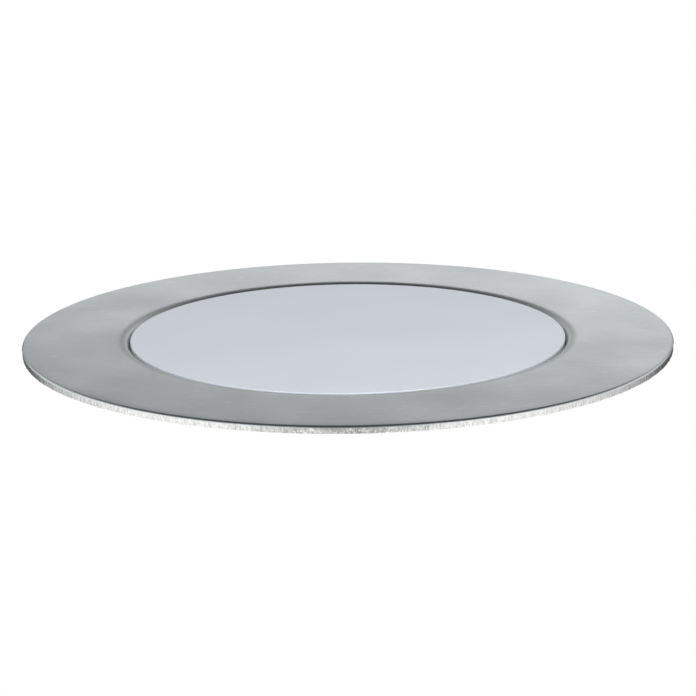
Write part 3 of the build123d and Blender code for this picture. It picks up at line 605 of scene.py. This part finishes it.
finishes = {
    # Polycarbonate in a spark-eroded mould: black and matt, its fine grain drawn coarser so that it shows
    "barrel_plastic": moulded_finish(
        "spark_grained_polycarbonate", "#1b1c1d", "#242526",
        grain=0.4, depth=0.025, rough=(0.48, 0.58), ior=1.58,
    ),
    # Silicone rubber: dull black with a faint bloom
    "seal_rubber": moulded_finish(
        "moulded_silicone_rubber", "#151515", "#1f1f1f", grain=0.3, depth=0.012, rough=(0.68, 0.8), ior=1.41,
    ),
    # Nylon from a polished mould: black with a soft sheen
    "gland_plastic": moulded_finish(
        "moulded_nylon", "#171718", "#1f2021", grain=0.8, depth=0.012, rough=(0.36, 0.46), ior=1.53,
    ),
    # Cold-rolled spring strip: grey with fine lines along the strip
    "spring_steel": worked_metal(
        "rolled_spring_strip", "#a6a8aa", "#b9bbbc", mark=(7.0, 0.3, 7.0), depth=0.004, rough=(0.26, 0.36),
    ),
    # Turned bar: bright, with fine rings round it
    "pin_steel": worked_metal(
        "turned_stainless_bar", "#b9babc", "#cccdce", mark=(9.0, 0.15, 9.0), depth=0.003, rough=(0.2, 0.28),
    ),
    # Cold-headed stainless screws: bright and slightly cloudy
    "screw_steel": worked_metal(
        "cold_headed_stainless", "#b2b3b4", "#c4c5c6", mark=(0.5, 0.5, 0.5), depth=0.006, rough=(0.25, 0.36),
    ),
    # Polished white moulding
    "reflector_plastic": moulded_finish(
        "moulded_white_polycarbonate", "#e6e5e0", "#efeeea",
        grain=1.2, depth=0.006, rough=(0.2, 0.28), ior=1.58,
    ),
    # White solder mask on an aluminium core, whose cut edge is bare
    "led_board_metal": two_tone_finish(
        "masked_aluminium_board", ("#e4e4df", "#ecece8"), "#c4c6c8",
        grain=0.6, rough=(0.34, 0.44), wall_metallic=1.0,
    ),
    # Light source: yellow phosphor gel in a white case
    "led_phosphor": two_tone_finish(
        "phosphor_filled_case", ("#e2c049", "#ebcd62"), "#e9e8e3",
        grain=0.3, rough=(0.3, 0.42), wall_metallic=0.0,
    ),
    # Thermal pad: grey silicone with a coarse filler
    "pad_silicone": moulded_finish(
        "filled_silicone_pad", "#7c828a", "#8d939a", grain=0.35, depth=0.02, rough=(0.75, 0.88), ior=1.42,
    ),
    # Milled aluminium: pale, with the cutter's lines along X
    "sink_aluminium": worked_metal(
        "milled_aluminium", "#c6c8ca", "#d6d8da", mark=(8.0, 0.35, 8.0), depth=0.006, rough=(0.3, 0.4),
    ),
    "driver_laminate": green_glass_epoxy(),
    # Sintered ferrite: dark grey and dry
    "choke_ferrite": moulded_finish(
        "sintered_ferrite", "#2a2a2c", "#37373a", grain=0.35, depth=0.02, rough=(0.6, 0.72), ior=1.6,
    ),
    # Deep-drawn can: pale, with fine upright lines
    "capacitor_can": worked_metal(
        "drawn_aluminium_can", "#c2c4c6", "#d2d4d5", mark=(0.3, 0.3, 6.0), depth=0.004, rough=(0.28, 0.36),
    ),
    # Transfer-moulded epoxy: black and fine-grained
    "chip_epoxy": moulded_finish(
        "moulded_epoxy", "#1a1a1b", "#222223", grain=0.25, depth=0.01, rough=(0.5, 0.6), ior=1.55,
    ),
    # Green polyamide
    "terminal_plastic": moulded_finish(
        "moulded_green_polyamide", "#2c7440", "#35824a", grain=0.6, depth=0.01, rough=(0.36, 0.46), ior=1.53,
    ),
    # Extruded vinyl sleeves of the leads
    "lead_red_sleeve": moulded_finish(
        "extruded_red_vinyl", "#b3211c", "#c02b24", grain=0.5, depth=0.006, rough=(0.36, 0.46), ior=1.53,
    ),
    "lead_black_sleeve": moulded_finish(
        "extruded_black_vinyl", "#191919", "#222222", grain=0.5, depth=0.006, rough=(0.36, 0.46), ior=1.53,
    ),
}
for row in frame["record"]["subparts"]:
    node = frame["nodes"][row["node"]]
    if not node.hide_render:
        node.data.materials.clear()
        node.data.materials.append(finishes[row["material_slot"]])


# Stage, light and camera

def seen_share(tree):
    """1 for the rays that look at the stage, straight or in metal or glass, and 0 for those that light it."""
    path = add_node(tree, "LightPath")
    mirrored = {0: path.outputs["Is Glossy Ray"], 1: path.outputs["Is Transmission Ray"]}
    mirrored = add_node(tree, "Math", mirrored, operation="MAXIMUM").outputs[0]
    straight = path.outputs["Is Camera Ray"]
    return add_node(tree, "Math", {0: straight, 1: mirrored}, operation="MAXIMUM").outputs[0]


def build_floor():
    """Pale disc that the light stands on: circles round the axis, whose glow grows outwards to full white."""
    floor_r = 130.0
    plain_r = 60.0
    middle_r = 1.0
    columns = 96
    angle = 2 * pi * np.arange(columns) / columns
    radius = np.array([floor_r, plain_r, middle_r])[:, None]
    points = carry_round(radius, floor_z, angle)
    quads = grid_quads(len(radius), columns, close_rows=False)
    middle = end_faces(len(points), columns)[1]
    material, tree = new_material("pale_floor")
    away = add_node(tree, "VectorMath", {0: add_node(tree, "TexCoord").outputs["Object"]}, operation="LENGTH")
    glow = add_node(tree, "MapRange", {
        "Value": away.outputs["Value"], "From Min": plain_r * MM, "From Max": floor_r * MM,
        "To Min": 0.3, "To Max": 1.0,
    }, interpolation_type="SMOOTHSTEP").outputs[0]
    glow = add_node(tree, "Math", {0: seen_share(tree), 1: glow}, operation="MULTIPLY").outputs[0]
    matt = add_node(tree, "BsdfDiffuse", {"Color": linear("#e9e9e9")})
    white = add_node(tree, "Emission", {"Color": (1, 1, 1, 1), "Strength": glow})
    close_material(tree, add_node(tree, "AddShader", {0: matt.outputs[0], 1: white.outputs[0]}))
    add_piece("floor", points, [*quads.tolist(), middle], [material])


def build_front_card(eye, axes):
    """White card near the camera, for the ground that hides what lies below the ring, which passes light.

    Its upper edge is the near half of the ring's lower rim, projected onto the card from the camera.
    """
    card_distance = 250.0
    overlap = 0.1
    margin = 1.2
    angle = np.linspace(pi, 2 * pi, 241)
    rim = np.stack([ring_r * np.cos(angle), ring_r * np.sin(angle) + overlap, np.zeros_like(angle)], axis=1)
    upper = (rim - eye) @ axes
    upper *= card_distance / -upper[:, 2:]
    reach = margin * card_distance * image_px / 2 / focal_px
    corners = [[-reach, upper[0, 1], -card_distance], [reach, upper[-1, 1], -card_distance]]
    upper = np.concatenate([corners[:1], upper, corners[1:]])
    lower = upper.copy()
    lower[:, 1] = -reach
    points = np.concatenate([upper, lower]) @ axes.T + eye
    here = np.arange(len(upper) - 1)
    quads = np.stack([here, here + len(upper), here + len(upper) + 1, here + 1], axis=1)
    material, tree = new_material("white_card")
    clear = add_node(tree, "BsdfTransparent")
    white = add_node(tree, "Emission", {"Color": (1, 1, 1, 1), "Strength": 1.0})
    card = {0: seen_share(tree), 1: clear.outputs[0], 2: white.outputs[0]}
    close_material(tree, add_node(tree, "MixShader", card))
    add_piece("front_card", points, quads.tolist(), [material])


def build_back_sheet():
    """Upright sheet behind the light, wider at its foot, that only metal and gloss show.

    Its glow falls off in a straight line upwards, the more the further left, down to a least glow, and by
    smooth steps at its foot and its ends.
    """
    sheet_y = 120.0
    foot_z = -60.0
    head_z = 80.0
    foot_half_w = 180.0
    head_half_w = 60.0
    base_glow = 1.26
    fall_per_mm = -0.0097
    fall_change_per_mm = 0.000085
    least_glow = 0.45
    end_from, end_full = 42.0, 90.0
    foot_top_z = 14.0
    corners = np.array([
        [-foot_half_w, sheet_y, foot_z],
        [foot_half_w, sheet_y, foot_z],
        [head_half_w, sheet_y, head_z],
        [-head_half_w, sheet_y, head_z],
    ])
    material, tree = new_material("glowing_sheet")
    place = add_node(tree, "SeparateXYZ", {0: add_node(tree, "TexCoord").outputs["Object"]})
    fall = {0: place.outputs["X"], 1: fall_change_per_mm / MM ** 2, 2: fall_per_mm / MM}
    fall = add_node(tree, "Math", fall, operation="MULTIPLY_ADD").outputs[0]
    glow = {0: place.outputs["Z"], 1: fall, 2: base_glow}
    glow = add_node(tree, "Math", glow, operation="MULTIPLY_ADD").outputs[0]
    glow = add_node(tree, "Math", {0: glow, 1: least_glow}, operation="MAXIMUM").outputs[0]
    ends = add_node(tree, "MapRange", {
        "Value": add_node(tree, "Math", {0: place.outputs["X"]}, operation="ABSOLUTE").outputs[0],
        "From Min": end_from * MM, "From Max": end_full * MM, "To Min": 1.0, "To Max": 0.25,
    }, interpolation_type="SMOOTHSTEP").outputs[0]
    glow = add_node(tree, "Math", {0: glow, 1: ends}, operation="MULTIPLY").outputs[0]
    foot = add_node(tree, "MapRange", {
        "Value": place.outputs["Z"], "From Min": 0.0, "From Max": foot_top_z * MM,
        "To Min": 0.15, "To Max": 1.0,
    }, interpolation_type="SMOOTHSTEP").outputs[0]
    glow = add_node(tree, "Math", {0: glow, 1: foot}, operation="MULTIPLY").outputs[0]
    clear = add_node(tree, "BsdfTransparent")
    white = add_node(tree, "Emission", {"Color": (1, 1, 1, 1), "Strength": glow})
    mirrored = add_node(tree, "LightPath").outputs["Is Glossy Ray"]
    sheet = {0: mirrored, 1: clear.outputs[0], 2: white.outputs[0]}
    close_material(tree, add_node(tree, "MixShader", sheet))
    add_piece("back_sheet", corners, [[0, 1, 2, 3]], [material])


def softbox(name, azimuth, elevation, distance, size, level):
    """Square lamp that faces the ring and isn't mirrored: its power is its level times pi times its area.

    Azimuth 0 is in front and 90 is right. Lengths are in metres.
    """
    lamp = bpy.data.lights.new(name, "AREA")
    lamp.size = size
    lamp.energy = level * pi * size ** 2
    source = bpy.data.objects.new(name, lamp)
    source.visible_camera = False
    source.visible_glossy = False
    bpy.context.scene.collection.objects.link(source)
    turn, rise = radians(azimuth), radians(elevation)
    way = Vector((sin(turn) * cos(rise), -cos(turn) * cos(rise), sin(rise)))
    source.location = way * distance
    source.rotation_euler = way.to_track_quat("Z", "Y").to_euler()


def build_light():
    """White where it is looked at and even where it lights, with two softboxes.

    In gloss, the part above the horizon is white low down and falls off by a smooth step overhead, with a
    dark gap behind the camera. The part below it is brightest in front and falls off by a smooth step towards
    the back, the sooner the further right, and it is dim in the middle of the front.
    """
    front_y = -0.5
    bounce_lean = 0.12
    even_level = 0.5
    world = bpy.data.worlds.new("studio")
    bpy.context.scene.world = world
    world.use_nodes = True
    tree = world.node_tree
    tree.nodes.clear()
    way = add_node(tree, "SeparateXYZ", {0: add_node(tree, "TexCoord").outputs["Generated"]})
    fall = add_node(tree, "MapRange", {
        "Value": way.outputs["Z"], "From Min": 0.24, "From Max": 0.67, "To Min": 1.0, "To Max": 0.06,
    }, interpolation_type="SMOOTHSTEP").outputs[0]
    across = add_node(tree, "Math", {0: way.outputs["X"]}, operation="ABSOLUTE").outputs[0]
    gap = add_node(tree, "MapRange", {
        "Value": across, "From Min": 0.16, "From Max": 0.36, "To Min": 0.15, "To Max": 1.0,
    }, interpolation_type="SMOOTHSTEP").outputs[0]
    rear = add_node(tree, "Math", {0: way.outputs["Y"], 1: front_y}, operation="GREATER_THAN").outputs[0]
    gap = add_node(tree, "Math", {0: gap, 1: rear}, operation="MAXIMUM").outputs[0]
    raised = add_node(tree, "Math", {0: fall, 1: gap}, operation="MULTIPLY").outputs[0]
    backward = {0: way.outputs["X"], 1: bounce_lean, 2: way.outputs["Y"]}
    bounce = add_node(tree, "MapRange", {
        "Value": add_node(tree, "Math", backward, operation="MULTIPLY_ADD").outputs[0],
        "From Min": -0.3, "From Max": 1.0, "To Min": 1.5, "To Max": 0.45,
    }, interpolation_type="SMOOTHSTEP").outputs[0]
    middle = add_node(tree, "MapRange", {
        "Value": across, "From Min": 0.05, "From Max": 0.75, "To Min": 0.3, "To Max": 1.0,
    }, interpolation_type="SMOOTHSTEP").outputs[0]
    middle = add_node(tree, "Math", {0: middle, 1: rear}, operation="MAXIMUM").outputs[0]
    lowered = add_node(tree, "Math", {0: bounce, 1: middle}, operation="MULTIPLY").outputs[0]
    above = add_node(tree, "Math", {0: way.outputs["Z"], 1: 0.0}, operation="GREATER_THAN").outputs[0]
    mirrored = add_node(tree, "Mix", {0: above, 2: lowered, 3: raised}, data_type="FLOAT").outputs[0]
    gloss = add_node(tree, "LightPath").outputs["Is Glossy Ray"]
    shown = add_node(tree, "Mix", {0: gloss, 2: 1.0, 3: mirrored}, data_type="FLOAT").outputs[0]
    seen = {0: seen_share(tree), 2: even_level, 3: shown}
    level = add_node(tree, "Mix", seen, data_type="FLOAT").outputs[0]
    sky = add_node(tree, "Background", {"Color": (1, 1, 1, 1), "Strength": level})
    add_node(tree, "OutputWorld", {"Surface": sky.outputs[0]})
    softbox("right_softbox", azimuth=25, elevation=32, distance=0.18, size=0.14, level=3.0)
    softbox("left_softbox", azimuth=-25, elevation=32, distance=0.18, size=0.14, level=2.3)


def camera_place():
    """Camera's place in mm and its rotation: the ring's centre falls where the photograph has it."""
    rise = radians(camera_elevation)
    back = Vector((0, -cos(rise), sin(rise)))
    turn = back.to_track_quat("Z", "Y").to_matrix() @ Matrix.Rotation(radians(camera_roll), 3, "Z")
    mm_per_px = camera_distance / focal_px
    off_x = (image_px / 2 - centre_px[0]) * mm_per_px
    off_y = (centre_px[1] - image_px / 2) * mm_per_px
    aim = Vector((0, 0, sheet_t)) + turn @ Vector((off_x, off_y, 0))
    return aim + back * camera_distance, turn


def build_camera(eye, turn):
    """Long lens at its place: its length is the focal length in pixels, as a share of the sensor."""
    lens = bpy.data.cameras.new("camera")
    lens.sensor_width = sensor_mm
    lens.lens = focal_px / image_px * sensor_mm
    lens.clip_start = 0.01
    lens.clip_end = 10.0
    camera = bpy.data.objects.new("camera", lens)
    bpy.context.scene.collection.objects.link(camera)
    camera.matrix_world = Matrix.Translation(eye * MM) @ turn.to_4x4()
    bpy.context.scene.camera = camera


eye, turn = camera_place()
build_camera(eye, turn)
build_front_card(np.array(eye), np.array(turn))
build_floor()
build_back_sheet()
build_light()
bpy.context.scene.view_settings.view_transform = "Standard"
